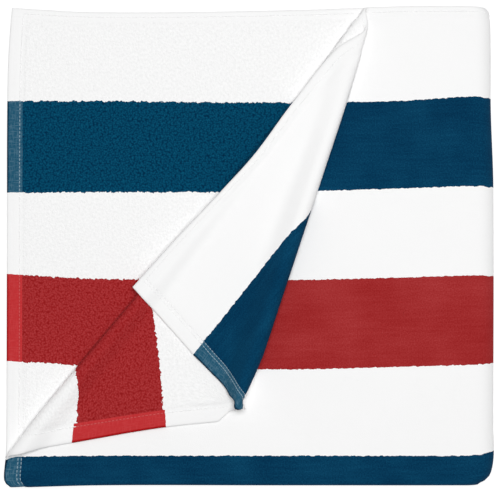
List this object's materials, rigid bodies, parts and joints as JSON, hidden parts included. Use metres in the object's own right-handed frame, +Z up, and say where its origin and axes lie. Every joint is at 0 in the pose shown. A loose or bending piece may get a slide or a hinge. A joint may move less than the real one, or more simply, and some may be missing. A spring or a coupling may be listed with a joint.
{
  "type": "beach towel",
  "caption": "Striped beach towel, folded in half along its length and twice across, with its top corner turned over and back.",
  "frame": {"origin": "middle of the folded towel's box, on its underside", "axes": "+Z up through the layers, +X from the hem's side to the outer crosswise fold, +Y from the lengthwise fold to the side hems"},
  "size_m": [0.3946, 0.3878, 0.0473],
  "materials": {
    "towel_cloth": "matte"
  },
  "bodies": {
    "root": {"towel_cloth": "towel_cloth"}
  },
  "joints": []
}
